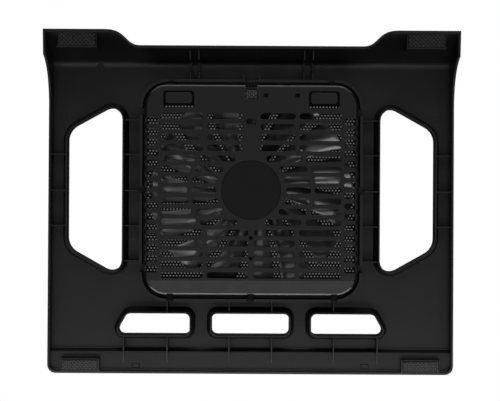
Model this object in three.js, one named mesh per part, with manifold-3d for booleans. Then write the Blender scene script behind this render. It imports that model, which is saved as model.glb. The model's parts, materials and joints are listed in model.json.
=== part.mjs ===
// Laptop cooling pad: a sloping tray with one large fan on a cover that swings out of a bay underneath.
// Millimetres. X runs across the pad, Y from its front edge to its raised rear edge, Z up from the desk.
// Most pieces are drawn in the plate's own frame, with Z = 0 on the plate's top surface and a depth
// below it written as a negative Z. That frame is then tilted about X and stood on the four feet.
import * as THREE from "three";
import { mergeVertices } from "three/addons/utils/BufferGeometryUtils.js";
import Module from "manifold-3d";

const wasm = await Module();
wasm.setup();

// ---- Driving dimensions ----
const TILT = THREE.MathUtils.degToRad(7.4);
const FRONT_HEIGHT = 14.85; // height of the plate's top surface where it would meet the front edge
const FIT_GAP = 0.3; // clearance between pieces that are fastened together

const PLATE = { halfWidthFront: 199.7, halfWidthRear: 198.5, thickness: 2.5, skirt: 2.2, cornerRadius: 8 };
const LEDGE = { depth: 7, thickness: 2.5, stepFoot: 18.8, stepTop: 21, frontRim: 14.5 };
const LEG_LEAN = THREE.MathUtils.degToRad(25);
const LEG = { lean: Math.tan(LEG_LEAN), bendAt: 307.8, bendRadius: 10.5, thickness: 2.5 };
const EAR = { rimStart: 268, rimDepth: 17.5, frontAt: 311.5, bottom: 60 };
const ARCH = { depth: 30, earDepth: 57.3, halfTop: 109, halfBottom: 139 };

const RIM = { wall: 1.5, depth: 16, draft: 3.8 };
const SIDE_OPENING = [[181, 123.5, 17], [181, 238.7, 17], [126.8, 268.7, 11], [126.8, 93, 11]];
const MIDDLE_OPENING = [[38, 38.1, 5], [38, 59.4, 5], [-38, 59.4, 5], [-38, 38.1, 5]];
const OUTER_OPENING = [[133.5, 38.1, 5], [121.5, 59.4, 7], [59.8, 59.4, 5], [59.8, 38.1, 5]];

const BAY = { half: 106.8, front: 74.2, rear: 286.9, radius: 24, wall: 2.8, depth: 19 };
const BAY_NOTCH = { width: 7, endTop: 14, sideTop: 4, sides: [104, 181, 258] };
const LATCH_NOTCH = { half: 6.6, top: 12 };
const BOSS = { x: 55, y: 296, radius: 2, depth: 6 };
const MESH_PANEL = { half: 112, front: 69.5, rear: 292, radius: 25, thickness: 1, seat: 1.4, ledge: 8 };
const RIB = { wall: 1.2, depth: 13.5, root: 1.5 };
const CROSS_RIBS = [110.8, 145.4, 180, 215.6, 249.7];
const LONG_FRONT_RIBS = [21, 82, 125];
const SHORT_FRONT_RIBS = [21, 82];
const CABLE_GUIDES = [51.5, 60];
const POCKET_RIB = { x: 7.8, wall: 1.4, front: 288, rear: 294 }; // beside the latch, behind the bay

const COVER = { half: 103.9, front: 78.2, rear: 284, radius: 21, face: 24, top: 12, wall: 1.8 };
const CHAMFER = { front: 18, runsTo: 92.9 }; // the cover's sloping front
const SLOTS = { rows: 16, firstRow: 253.6, pitch: 10.36, height: 6.2, outerEnd: 88.2, bar: 3.9 };
const SLOT_BARS = { straightAt: 45.1, ringRadius: 60.3, ringReach: 41, hub: 34.2 };
const STRUT = { rearHalf: 8.8, frontHalf: 2.5 };
const EDGE_SLOTS = { rows: 15, firstRow: 248.4, pitch: 10.33, height: 6.2, innerEnd: 90.9, up: 3.5 };
const HINGE = { y: 73.5, depth: 17.5, tongues: [-82, 0, 79], width: 6, thickness: 2.4 };
const LATCH = { half: 5.5, front: 271, rear: 282.6, face: 23.6, back: 21.4, gap: 0.6 };
const LATCH_LIP = { height: 2.2, wall: 2 };
const LATCH_VENT = { half: 4.8, front: 245.6, rear: 251.2 };
const SQUARE_HOLES = { x: [-14, -45], y: 274, halfWidth: 2.2, halfHeight: 1.9 };
const ROUND_HOLES = { y: [114.7, 134.7], radius: 2 };
const SLIDE_WINDOW = { low: 56.1, high: 86.2, front: 261.2, rear: 278.3, radius: 3.5 };
const SLIDE_BLOCK = { low: 57.5, high: 84.5, front: 265.8, rear: 277.2, face: 24.2, radius: 3 };
const SLIDE_FLANGE = { side: 3.5, front: 1.2, rear: 2.8, thickness: 1.4 };
const BOLT = { x: 78, half: 2.6, low: 2.4, high: 4.6, reach: 0.8, notchHalf: 3.4 };

const FAN = { y: 181.4, radius: 100, blades: 15, hub: 30, hubWall: 1.8, top: 5, bottom: 19 };
const BLADE = { high: 4.6, lowRoot: 10.5, lowTip: 15.8, thickness: 1.7, camber: 1.8 };
const BLADE_GAP = { degrees: 5, phase: 10, sweep: 0.155 }; // the sweep is in degrees per millimetre
const SEAT = { radius: 31, top: 20, tube: 5, bore: 3.9, boreFloor: 22, tubeTop: 9, channel: 2.6 };
const HUB_DISC = { radius: 28.7, thickness: 0.8 };

const SHAFT = { radius: 1.5, top: 6.1, bottom: 20.9 };
const CLIP = { outer: 3, top: 19.9, bottom: 20.5 };
const SLEEVE = { top: 9.3, bottom: 19.4 };
const WASHER_TOP = 21.2;
const YOKE = { top: 7.1, bottom: 18, outer: 27.6, wall: 1.2 };
const MAGNET = { top: 8.6, bottom: 17.8, outer: 26.1, inner: 23.7 };
const STATOR = { top: 10.8, bottom: 14.8, outer: 23.2, body: 8.5, bore: 5.3, arm: 6, tip: 19, tipHalf: 12 };
const COIL = { inner: 9, outer: 18.6, halfWidth: 6, top: 9.2, bottom: 16.4 };
const BOARD = { top: 18.2, bottom: 19.6, outer: 22 };
const LEAD_RADIUS = 0.9;
const SOCKET = { x: -30, width: 8, front: 278.6, rear: 283.8, bottom: 20.2, top: 10.6 };
const SOCKET_MOUTH = { width: 6.8, z: -13, half: 1.4, wall: 1.2 };
const SOCKET_WINDOW = { half: 6.5, bottom: 16.5, top: 9.5 };
const SOCKET_BOARD = { half: 11, front: 265, thickness: 1.2 };

const FOOT = { proud: 1.2, thickness: 2 };
const FRONT_FOOT = { x: 167.5, y: 8, depth: 16, length: 36, width: 10.8 };
const REAR_FOOT = { x: 166.5, y: 325, depth: 57, length: 36, width: 12.5 };
const REAR_FOOT_BLOCK = { inner: 147.6, outer: 185.4, front: 317.2, wall: 2.2, roof: 2 };
const PEDESTAL = { beyond: 1, front: 1, rear: 14.6 };
const STOP = { x: 113, halfLength: 30, front: 3.6, rear: 16.4, lipRear: 7.2, height: 6, tread: 2.6 };
const STOP_TAB = { half: 3.5, front: 5.5, rear: 9.5 };

// ---- Building blocks ----
const X_AXIS = new THREE.Vector3(1, 0, 0);
const Y_AXIS = new THREE.Vector3(0, 1, 0);
const Z_AXIS = new THREE.Vector3(0, 0, 1);
const ACROSS_X = new THREE.Matrix4().makeBasis(Y_AXIS, Z_AXIS, X_AXIS);
const ALONG_Y = new THREE.Matrix4().makeBasis(X_AXIS, Z_AXIS, Y_AXIS.clone().negate());

// A solid for joining and cutting, from a closed geometry.
function solid(geometry) {
  const bare = geometry.clone();
  bare.deleteAttribute("normal");
  bare.deleteAttribute("uv");
  const merged = mergeVertices(bare, 1e-4);
  return new wasm.Manifold(new wasm.Mesh({
    numProp: 3,
    vertProperties: merged.attributes.position.array,
    triVerts: new Uint32Array(merged.index.array),
  }));
}

function geometryOf(made) {
  const mesh = made.getMesh();
  const geometry = new THREE.BufferGeometry();
  geometry.setAttribute("position", new THREE.BufferAttribute(mesh.vertProperties, mesh.numProp));
  geometry.setIndex(new THREE.BufferAttribute(mesh.triVerts, 1));
  geometry.computeVertexNormals();
  return geometry;
}

const join = (...solids) => solids.reduce((sum, next) => sum.add(next));
const cut = (base, ...tools) => base.subtract(join(...tools));
const mirrorPair = (make) => [-1, 1].map(make);

// Points of a closed outline through corners [x, y, radius], each corner rounded by an arc.
function outline(corners) {
  return corners.flatMap(([x, y, radius = 0], i) => {
    const corner = new THREE.Vector2(x, y);
    if (radius === 0) return [corner];
    const [beforeX, beforeY] = corners.at(i - 1);
    const [afterX, afterY] = corners[(i + 1) % corners.length];
    const before = new THREE.Vector2(beforeX - x, beforeY - y).normalize();
    const after = new THREE.Vector2(afterX - x, afterY - y).normalize();
    const half = Math.acos(before.dot(after)) / 2;
    const centre = before.clone().add(after).setLength(radius / Math.sin(half)).add(corner);
    const from = before.multiplyScalar(radius / Math.tan(half)).add(corner).sub(centre);
    const to = after.multiplyScalar(radius / Math.tan(half)).add(corner).sub(centre);
    const sweep = Math.atan2(from.cross(to), from.dot(to));
    const steps = radius > 9 ? 6 : 4;
    return Array.from({ length: steps + 1 }, (_, k) =>
      from.clone().rotateAround(new THREE.Vector2(), (sweep * k) / steps).add(centre));
  });
}

// The same corners with every side moved outwards, for a convex outline drawn anticlockwise.
function grown(corners, by) {
  return corners.map(([x, y, radius], i) => {
    const [beforeX, beforeY] = corners.at(i - 1);
    const [afterX, afterY] = corners[(i + 1) % corners.length];
    const arriving = new THREE.Vector2(x - beforeX, y - beforeY).normalize();
    const leaving = new THREE.Vector2(afterX - x, afterY - y).normalize();
    const reach = by / (1 + arriving.dot(leaving));
    return [x + (arriving.y + leaving.y) * reach, y - (arriving.x + leaving.x) * reach, radius + by];
  });
}

const rectangle = (xLow, xHigh, yLow, yHigh, radius = 0) =>
  [[xHigh, yLow, radius], [xHigh, yHigh, radius], [xLow, yHigh, radius], [xLow, yLow, radius]];

const mirrored = (corners) => corners.map(([x, y, radius]) => [-x, y, radius]).reverse();

function extruded(points, length) {
  return new THREE.ExtrudeGeometry(new THREE.Shape(points), { depth: length, bevelEnabled: false });
}

// Prisms: upright from an outline in X and Y, or across the pad from a profile in Y and Z,
// or from front to rear from a profile in X and Z.
const prism = (points, low, high) => solid(extruded(points, high - low).translate(0, 0, low));
const acrossX = (points, low, high) =>
  solid(extruded(points, high - low).translate(0, 0, low).applyMatrix4(ACROSS_X));
const alongY = (points, low, high) =>
  solid(extruded(points, high - low).translate(0, 0, -high).applyMatrix4(ALONG_Y));

function block(xLow, xHigh, yLow, yHigh, low, high) {
  const box = new THREE.BoxGeometry(xHigh - xLow, yHigh - yLow, high - low);
  return solid(box.translate((xLow + xHigh) / 2, (yLow + yHigh) / 2, (low + high) / 2));
}

// A round-ended slot's outline from xLow to xHigh, centred on y.
function stadium(xLow, xHigh, y, height) {
  const radius = height / 2;
  const steps = 3;
  const end = (x, start) => Array.from({ length: steps + 1 }, (_, k) => {
    const angle = start + (Math.PI * k) / steps;
    return new THREE.Vector2(x + radius * Math.cos(angle), y + radius * Math.sin(angle));
  });
  return [...end(xHigh - radius, -Math.PI / 2), ...end(xLow + radius, Math.PI / 2)];
}

// A turned solid about Z through (x, y), from a profile of [radius, z] drawn anticlockwise.
function turned(profile, x = 0, y = 0, steps = 32) {
  const points = profile.map(([radius, z]) => new THREE.Vector2(radius, z));
  return solid(new THREE.LatheGeometry(points, steps).rotateX(Math.PI / 2).translate(x, y, 0));
}

const cylinder = (x, y, radius, low, high, steps = 24) =>
  turned([[0, low], [radius, low], [radius, high], [0, high]], x, y, steps);
const ring = (x, y, inner, outer, low, high, steps = 32) =>
  turned([[inner, low], [outer, low], [outer, high], [inner, high], [inner, low]], x, y, steps);

// ---- The two frames ----
const plateFrame = new THREE.Group();
plateFrame.rotation.x = TILT;
plateFrame.position.z = FRONT_HEIGHT;
plateFrame.updateMatrix();
const levelToPlate = plateFrame.matrix.clone().invert();

// Y on the level desk below a point of the plate frame.
const levelY = (y, depth) => y * Math.cos(TILT) + depth * Math.sin(TILT);

// A level box, as a solid in the plate's frame.
function levelBlock(xLow, xHigh, yLow, yHigh, low, high) {
  const box = new THREE.BoxGeometry(xHigh - xLow, yHigh - yLow, high - low);
  box.translate((xLow + xHigh) / 2, (yLow + yHigh) / 2, (low + high) / 2);
  return solid(box.applyMatrix4(levelToPlate));
}

// ---- Materials ----
const finish = (color, roughness, metalness = 0) =>
  new THREE.MeshStandardMaterial({ color, roughness, metalness });
const finishes = {
  shell: finish(0x1c1c1d, 0.55),
  cover: finish(0x1e1e1f, 0.6),
  fan: finish(0x161617, 0.3),
  disc: finish(0x131314, 0.45),
  rubber: finish(0x2a2a2b, 0.9),
  paintedSteel: finish(0x151515, 0.4, 0.6),
  steel: finish(0xa8abae, 0.3, 1),
  magnet: finish(0x2b2b2d, 0.7),
  bronze: finish(0x9c7440, 0.4, 1),
  copper: finish(0xa85a28, 0.35, 0.9),
  board: finish(0x1d4a2c, 0.5),
  nylon: finish(0xd9d6cc, 0.6),
  wire: finish(0x202022, 0.5),
};

// ---- Top shell ----
const legOuterY = (depth) => LEG.bendAt + depth * LEG.lean;
const legShift = LEG.thickness * Math.sqrt(1 + LEG.lean ** 2);
const legInnerY = (depth) => legOuterY(depth) - legShift;

// Outside of the shell seen from the side: front skirt, ledge, plate, rear leg, ear and skirt rim.
function shellSide() {
  const bottomY = legOuterY(EAR.bottom);
  const top = outline([
    [0, -LEDGE.frontRim], [0, -LEDGE.depth, 4], [LEDGE.stepFoot, -LEDGE.depth, 1.5],
    [LEDGE.stepTop, 0, 2], [LEG.bendAt, 0, LEG.bendRadius], [bottomY, -EAR.bottom],
  ]);
  const rim = new THREE.QuadraticBezierCurve(
    new THREE.Vector2(EAR.frontAt, -EAR.bottom + 2),
    new THREE.Vector2(EAR.rimStart + 35, -24),
    new THREE.Vector2(EAR.rimStart, -EAR.rimDepth),
  );
  return acrossX([...top, new THREE.Vector2(EAR.frontAt, -EAR.bottom), ...rim.getPoints(8)], -210, 210);
}

// The hollow under the plate, open below.
function shellHollow() {
  const inside = PLATE.skirt;
  const deep = EAR.bottom + 10;
  const flange = LEDGE.depth + LEDGE.thickness;
  const side = acrossX(outline([
    [inside, -deep], [inside, -flange, 2], [LEDGE.stepTop, -flange, 1.5],
    [LEDGE.stepTop + 2.3, -PLATE.thickness, 1.5],
    [legInnerY(PLATE.thickness), -PLATE.thickness, 8], [legInnerY(deep), -deep],
  ]), -210, 210);
  return side.intersect(prism(outline(shellPlan(inside)), -deep - 5, 5));
}

function shellPlan(inset) {
  const front = PLATE.halfWidthFront - inset;
  const rear = PLATE.halfWidthRear - inset;
  const radius = PLATE.cornerRadius - inset;
  return [[front, inset, radius], [rear, 350], [-rear, 350], [-front, inset, radius]];
}

// The gap under the middle of the rear leg, with an S-curved end towards each ear.
function rearArch() {
  const bottom = -EAR.bottom - 5;
  const curve = (side) => new THREE.CubicBezierCurve(
    new THREE.Vector2(side * ARCH.halfTop, -ARCH.depth),
    new THREE.Vector2(side * (ARCH.halfTop + 14), -ARCH.depth),
    new THREE.Vector2(side * (ARCH.halfBottom - 20), -ARCH.earDepth),
    new THREE.Vector2(side * ARCH.halfBottom, -ARCH.earDepth),
  ).getPoints(10);
  const ends = [new THREE.Vector2(-ARCH.halfBottom, bottom), new THREE.Vector2(ARCH.halfBottom, bottom)];
  return alongY([...ends, ...curve(1).reverse(), ...curve(-1)], 290, 350);
}

const throughPlate = (corners) => prism(outline(corners), -30, 5);

// A wall round an opening, drafted so that it widens from its bottom edge up to the plate.
function openingRim(corners) {
  const edge = new THREE.Shape(outline(grown(corners, RIM.wall)));
  const height = RIM.depth - PLATE.thickness;
  const drafted = new THREE.ExtrudeGeometry(edge, {
    depth: PLATE.thickness, bevelThickness: height, bevelSize: RIM.draft, bevelSegments: 1,
  });
  return solid(drafted.translate(0, 0, -PLATE.thickness)).intersect(block(-210, 210, 0, 350, -30, -1));
}

function bayWall() {
  const inner = rectangle(-BAY.half, BAY.half, BAY.front, BAY.rear, BAY.radius);
  return cut(
    prism(outline(grown(inner, BAY.wall)), -BAY.depth, -1.8),
    prism(outline(inner), -BAY.depth - 5, 0),
  );
}

// Ribs under the plate: across the pad, or from front to rear.
const crossRib = (xLow, xHigh, y) =>
  block(xLow, xHigh, y - RIB.wall / 2, y + RIB.wall / 2, -RIB.depth, -RIB.root);

function crossRibs() {
  const bayOutside = BAY.half + BAY.wall - 0.5;
  const innerEdge = SIDE_OPENING[2][0] - 0.5;
  const outerEdge = SIDE_OPENING[0][0] + 0.5;
  const skirtInside = PLATE.halfWidthRear - 1;
  return CROSS_RIBS.flatMap((y) => {
    const inner = [crossRib(bayOutside, innerEdge, y), crossRib(-innerEdge, -bayOutside, y)];
    const besideOpening = y > 140 && y < 240;
    const outer = [crossRib(outerEdge, skirtInside, y), crossRib(-skirtInside, -outerEdge, y)];
    return besideOpening ? [...inner, ...outer] : inner;
  });
}

function frontRibs() {
  const gusset = outline([
    [38.5, -RIB.root], [22.6, -RIB.root], [19.5, -8.5], [10.5, -8.5], [10.5, -9.9], [22, -13], [38.5, -13],
  ]);
  const long = LONG_FRONT_RIBS.flatMap((x) => mirrorPair((side) =>
    acrossX(gusset, side * x - RIB.wall / 2, side * x + RIB.wall / 2)));
  const short = SHORT_FRONT_RIBS.flatMap((x) => mirrorPair((side) => block(
    side * x - RIB.wall / 2, side * x + RIB.wall / 2,
    MIDDLE_OPENING[1][1] + 0.6, BAY.front - 2, -RIB.depth, -RIB.root,
  )));
  return [...long, ...short];
}

// Pairs of ribs behind the bay, notched so that a cable can be laid through them.
function cableGuides() {
  const profile = outline([
    [288.5, -RIB.root], [288.5, -14], [297.5, -14, 1], [297.5, -7, 2], [307.5, -7, 2], [308.5, -27],
    [legOuterY(27) - 1.4, -27], [legOuterY(9) - 1.4, -9], [304, -2.2],
  ]);
  return CABLE_GUIDES.flatMap((x) => mirrorPair((side) =>
    acrossX(profile, side * x - RIB.wall / 2, side * x + RIB.wall / 2)));
}

const latchPocketRibs = () => mirrorPair((side) => block(
  side * POCKET_RIB.x - POCKET_RIB.wall / 2, side * POCKET_RIB.x + POCKET_RIB.wall / 2,
  POCKET_RIB.front, POCKET_RIB.rear, -BAY.depth, -RIB.root,
));

const boss = () => cylinder(BOSS.x, BOSS.y, BOSS.radius, -BOSS.depth, -RIB.root, 16);

// How deep the inner face of the rear leg is at a distance from the front.
const legDepthAt = (y) => (y - LEG.bendAt + legShift - 1) / LEG.lean;

// A block in the corner of each ear that carries the rear foot, hollow from its outer side.
function rearFootBlocks() {
  const { inner, outer, front, wall, roof } = REAR_FOOT_BLOCK;
  const wedge = (inset) => outline([
    [front + inset, inset - legDepthAt(front + inset)],
    [legInnerY(EAR.bottom) + 1 - 2 * inset, inset - EAR.bottom],
    [front + inset, inset - EAR.bottom],
  ]);
  return mirrorPair((side) => {
    const across = (from, to) => (side > 0 ? [from, to] : [-to, -from]);
    const hollow = acrossX(wedge(roof), ...across(inner + wall, outer + 5));
    return cut(acrossX(wedge(0), ...across(inner, outer)), hollow);
  });
}

const frontPedestals = () => mirrorPair((side) => {
  const halfLength = FRONT_FOOT.length / 2 + PEDESTAL.beyond;
  const x = side * FRONT_FOOT.x;
  return block(x - halfLength, x + halfLength, PEDESTAL.front, PEDESTAL.rear, -20, -LEDGE.depth - 1.5);
});

function footPockets() {
  return [FRONT_FOOT, REAR_FOOT].flatMap((foot) => mirrorPair((side) => {
    const halfLength = foot.length / 2 + FIT_GAP;
    const halfWidth = foot.width / 2 + FIT_GAP;
    const y = levelY(foot.y, foot.depth);
    const x = side * foot.x;
    const roof = FOOT.thickness + FIT_GAP;
    return levelBlock(x - halfLength, x + halfLength, y - halfWidth, y + halfWidth, -5, roof);
  }));
}

// Notches round the bay's wall for the cover's tongues and lugs.
function bayNotches() {
  const { width, endTop, sideTop } = BAY_NOTCH;
  const below = -BAY.depth - 1;
  const middle = BAY.wall / 2;
  const across = (x, y) => block(x - width / 2, x + width / 2, y - 3, y + 3, below, -endTop);
  const along = (x, y) => block(x - 3, x + 3, y - width / 2, y + width / 2, below, -sideTop);
  const front = HINGE.tongues.map((x) => across(x, BAY.front - middle));
  const rear = mirrorPair((side) => across(side * BOLT.x, BAY.rear + middle));
  const sides = BAY_NOTCH.sides.flatMap((y) => mirrorPair((side) => along(side * (BAY.half + middle), y)));
  const latchAccess = block(
    -LATCH_NOTCH.half, LATCH_NOTCH.half, BAY.rear - 2, BAY.rear + 4, below, -LATCH_NOTCH.top);
  return [...front, ...rear, ...sides, latchAccess];
}

// The opening in the bay's rear wall through which a plug reaches the power socket.
const socketWindow = () => block(
  SOCKET.x - SOCKET_WINDOW.half, SOCKET.x + SOCKET_WINDOW.half,
  BAY.rear - 2, BAY.rear + 5, -SOCKET_WINDOW.bottom, -SOCKET_WINDOW.top,
);

function topShell() {
  const openings = [
    SIDE_OPENING, mirrored(SIDE_OPENING), MIDDLE_OPENING, OUTER_OPENING, mirrored(OUTER_OPENING),
  ];
  const seatOutline = rectangle(
    -MESH_PANEL.half - FIT_GAP, MESH_PANEL.half + FIT_GAP,
    MESH_PANEL.front - FIT_GAP, MESH_PANEL.rear + FIT_GAP, MESH_PANEL.radius + FIT_GAP,
  );
  const windowOutline = grown(seatOutline, -MESH_PANEL.ledge);
  const blank = shellSide().intersect(prism(outline(shellPlan(0)), -80, 5));
  const moulding = cut(blank, shellHollow(), rearArch());
  const withFeatures = join(
    moulding, bayWall(), ...openings.map(openingRim), ...crossRibs(), ...frontRibs(), ...cableGuides(),
    ...latchPocketRibs(), ...rearFootBlocks(), ...frontPedestals(), boss(),
  );
  const groundCut = levelBlock(-250, 250, -50, 400, -60, FOOT.proud);
  const stopSlots = mirrorPair((side) => block(
    side * STOP.x - STOP_TAB.half - FIT_GAP, side * STOP.x + STOP_TAB.half + FIT_GAP,
    STOP_TAB.front - FIT_GAP, STOP_TAB.rear + FIT_GAP, -12, -5,
  ));
  return cut(
    withFeatures, ...openings.map(throughPlate), prism(outline(seatOutline), -MESH_PANEL.seat, 5),
    prism(outline(windowOutline), -5, 5), ...bayNotches(), socketWindow(), ...stopSlots,
    groundCut, ...footPockets(),
  );
}

// ---- Mesh panel over the fan ----
function meshPanel() {
  const corners = rectangle(
    -MESH_PANEL.half, MESH_PANEL.half, MESH_PANEL.front, MESH_PANEL.rear, MESH_PANEL.radius);
  const low = -MESH_PANEL.seat + FIT_GAP;
  return prism(outline(corners), low, low + MESH_PANEL.thickness);
}

// ---- Fan cover ----
const trayCorners = (inset) => rectangle(
  -COVER.half + inset, COVER.half - inset, COVER.front + inset, COVER.rear - inset, COVER.radius - inset);

function traySide(inset) {
  const face = -COVER.face + inset;
  const front = COVER.front + inset;
  const slope = (COVER.face - CHAMFER.front) / (CHAMFER.runsTo - COVER.front);
  const slant = Math.sqrt(1 + slope * slope);
  return acrossX(outline([
    [front, -CHAMFER.front + inset * (slant - slope)],
    [CHAMFER.runsTo + (inset * (slant - 1)) / slope, face],
    [COVER.rear - inset, face, 1.5 - inset / 2], [COVER.rear - inset, 5], [front, 5],
  ]), -120, 120);
}

// The ends of the slots in one row of the grille, on the right half: [from, to] pairs.
function slotSpans(y) {
  const across = y - FAN.y;
  const strut = across > 0 ? STRUT.rearHalf : STRUT.frontHalf;
  const insideHub = Math.sqrt(Math.max(0, SLOT_BARS.hub ** 2 - across ** 2));
  const nearHub = Math.abs(across) < SLOT_BARS.ringReach;
  const bar = nearHub ? Math.sqrt(SLOT_BARS.ringRadius ** 2 - across ** 2) : SLOT_BARS.straightAt;
  return [
    [Math.max(insideHub, strut), bar - SLOTS.bar / 2],
    [bar + SLOTS.bar / 2, SLOTS.outerEnd],
  ];
}

const rowsOf = ({ rows, firstRow, pitch }) => Array.from({ length: rows }, (_, n) => firstRow - n * pitch);

function grilleSlots() {
  const face = [-COVER.face - 1, -COVER.face + COVER.wall + 1];
  const main = rowsOf(SLOTS).flatMap((y) => slotSpans(y).flatMap(([from, to]) => [
    prism(stadium(from, to, y, SLOTS.height), ...face),
    prism(stadium(-to, -from, y, SLOTS.height), ...face),
  ]));
  const edge = rowsOf(EDGE_SLOTS).flatMap((y) => [
    prism(stadium(EDGE_SLOTS.innerEnd, 115, y, EDGE_SLOTS.height), face[0], -COVER.face + EDGE_SLOTS.up),
    prism(stadium(-115, -EDGE_SLOTS.innerEnd, y, EDGE_SLOTS.height), face[0], -COVER.face + EDGE_SLOTS.up),
  ]);
  return [...main, ...edge];
}

// Tongues at the cover's front with round ends on the swing axis.
function hingeTongues() {
  const half = HINGE.thickness / 2;
  const profile = outline([
    [HINGE.y - half, -HINGE.depth - half, half - 0.05], [COVER.front + 1, -HINGE.depth - half],
    [COVER.front + 1, -HINGE.depth + half], [HINGE.y - half, -HINGE.depth + half, half - 0.05],
  ]);
  return HINGE.tongues.map((x) => acrossX(profile, x - HINGE.width / 2, x + HINGE.width / 2));
}

function motorSeat() {
  const tube = ring(0, FAN.y, SEAT.bore, SEAT.tube, -SEAT.top - 1, -SEAT.tubeTop);
  return join(cylinder(0, FAN.y, SEAT.radius, -COVER.face, -SEAT.top, 48), tube);
}

const leadChannel = () => block(
  -SEAT.channel / 2, SEAT.channel / 2, FAN.y + 12, FAN.y + 36, -COVER.face + COVER.wall, -SEAT.top + 2);

function fanCover() {
  const tray = cut(
    traySide(0).intersect(prism(outline(trayCorners(0)), -40, -COVER.top)),
    traySide(COVER.wall).intersect(prism(outline(trayCorners(COVER.wall)), -40, 0)),
  );
  const face = -COVER.face;
  const through = [face - 2, face + COVER.wall + 2];
  const windows = mirrorPair((side) => {
    const { low, high, front, rear, radius } = SLIDE_WINDOW;
    const corners = rectangle(low, high, front, rear, radius);
    return prism(outline(side > 0 ? corners : mirrored(corners)), ...through);
  });
  const boltNotches = mirrorPair((side) => block(
    side * BOLT.x - BOLT.notchHalf, side * BOLT.x + BOLT.notchHalf,
    COVER.rear - 4, COVER.rear + 2, face + 3, -COVER.top + 2,
  ));
  const latchRoom = block(
    -LATCH.half - LATCH.gap, LATCH.half + LATCH.gap,
    LATCH.front - LATCH.gap, COVER.rear + 2, face - 2, -COVER.top + 2,
  );
  const latchVent = block(-LATCH_VENT.half, LATCH_VENT.half, LATCH_VENT.front, LATCH_VENT.rear, ...through);
  const squareHoles = SQUARE_HOLES.x.map((x) => block(
    x - SQUARE_HOLES.halfWidth, x + SQUARE_HOLES.halfWidth,
    SQUARE_HOLES.y - SQUARE_HOLES.halfHeight, SQUARE_HOLES.y + SQUARE_HOLES.halfHeight, ...through,
  ));
  const roundHoles = ROUND_HOLES.y.map((y) => cylinder(0, y, ROUND_HOLES.radius, ...through, 12));
  const discRecess = cylinder(
    0, FAN.y, HUB_DISC.radius + FIT_GAP, face - 1, face + HUB_DISC.thickness + FIT_GAP, 48);
  const shaftBore = cylinder(0, FAN.y, SEAT.bore, -SEAT.boreFloor, 0);
  const socketRoom = block(
    SOCKET.x - 6, SOCKET.x + 6, COVER.rear - 4, COVER.rear + 2, -SOCKET.bottom - 0.6, -COVER.top + 2);
  return cut(
    join(tray, motorSeat(), ...hingeTongues()), ...grilleSlots(), ...windows, ...boltNotches, leadChannel(),
    latchRoom, latchVent, ...squareHoles, ...roundHoles, discRecess, shaftBore, socketRoom,
  );
}

// The thumb tongue in the rear edge, hinged at its front end.
function coverLatch() {
  const lipFront = LATCH.rear - LATCH_LIP.wall;
  const lipTop = -LATCH.back + LATCH_LIP.height;
  const profile = outline([
    [LATCH.front, -LATCH.face], [LATCH.rear, -LATCH.face + 1.2, 0.8],
    [LATCH.rear, lipTop, 0.6], [lipFront, lipTop, 0.6],
    [lipFront, -LATCH.back + 0.9], [LATCH.front, -LATCH.back],
  ]);
  return acrossX(profile, -LATCH.half, LATCH.half);
}

// A block that slides towards the front in its window and draws its bolt out of the bay's rear wall.
function slideLatch(side) {
  const { low, high, front, rear, face, radius } = SLIDE_BLOCK;
  const place = (points) => (side > 0 ? points : mirrored(points));
  const button = rectangle(low, high, front, rear, radius);
  const flange = rectangle(
    low - SLIDE_FLANGE.side, high + SLIDE_FLANGE.side,
    front - SLIDE_FLANGE.front, rear + SLIDE_FLANGE.rear, 1,
  );
  const inside = -COVER.face + COVER.wall + FIT_GAP;
  const [boltLow, boltHigh] = [side * BOLT.x - BOLT.half, side * BOLT.x + BOLT.half];
  return join(
    prism(outline(place(button)), -face, inside + 0.5),
    prism(outline(place(flange)), inside, inside + SLIDE_FLANGE.thickness),
    block(boltLow, boltHigh, rear, BAY.rear + BOLT.reach, inside + BOLT.low, inside + BOLT.high),
    block(boltLow, boltHigh, rear - 4, rear + 2.4, inside + 1, inside + BOLT.high),
  );
}

// ---- Fan ----
// Angle of the gap between two blades at a radius, before the blade's own turn.
const gapAngle = (radius) => BLADE_GAP.phase + BLADE_GAP.sweep * (radius - 70);

// One blade: a thin box bent round the hub, pitched from a high edge to a low edge and cambered.
function blade(index) {
  const pitch = 360 / FAN.blades;
  const box = new THREE.BoxGeometry(1, 1, 1, 4, 4, 1);
  const position = box.attributes.position;
  for (let i = 0; i < position.count; i += 1) {
    const outwards = position.getX(i) + 0.5;
    const along = position.getY(i) + 0.5;
    const radius = THREE.MathUtils.lerp(FAN.hub - 1, FAN.radius, outwards);
    const chord = pitch - BLADE_GAP.degrees;
    const degrees = index * pitch + gapAngle(radius) + BLADE_GAP.degrees / 2 + chord * along;
    const angle = THREE.MathUtils.degToRad(degrees);
    const low = THREE.MathUtils.lerp(BLADE.lowRoot, BLADE.lowTip, outwards);
    const arch = BLADE.camber * Math.sin(Math.PI * along);
    const slope = THREE.MathUtils.lerp(-BLADE.high, -low, along);
    const height = slope + arch + position.getZ(i) * BLADE.thickness;
    position.setXYZ(i, radius * Math.cos(angle), FAN.y + radius * Math.sin(angle), height);
  }
  return solid(box);
}

function impeller() {
  const inner = FAN.hub - FAN.hubWall;
  const cup = turned([
    [0, -FAN.top - FAN.hubWall], [inner, -FAN.top - FAN.hubWall], [inner, -FAN.bottom],
    [FAN.hub, -FAN.bottom], [FAN.hub, -FAN.top - 1.5], [FAN.hub - 1.5, -FAN.top], [0, -FAN.top],
  ], 0, FAN.y, 45);
  const blades = Array.from({ length: FAN.blades }, (_, index) => blade(index));
  const shaftSocket = cylinder(0, FAN.y, SHAFT.radius + FIT_GAP, -FAN.top - 5, -FAN.top - 0.8);
  return cut(join(cup, ...blades), shaftSocket);
}

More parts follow.
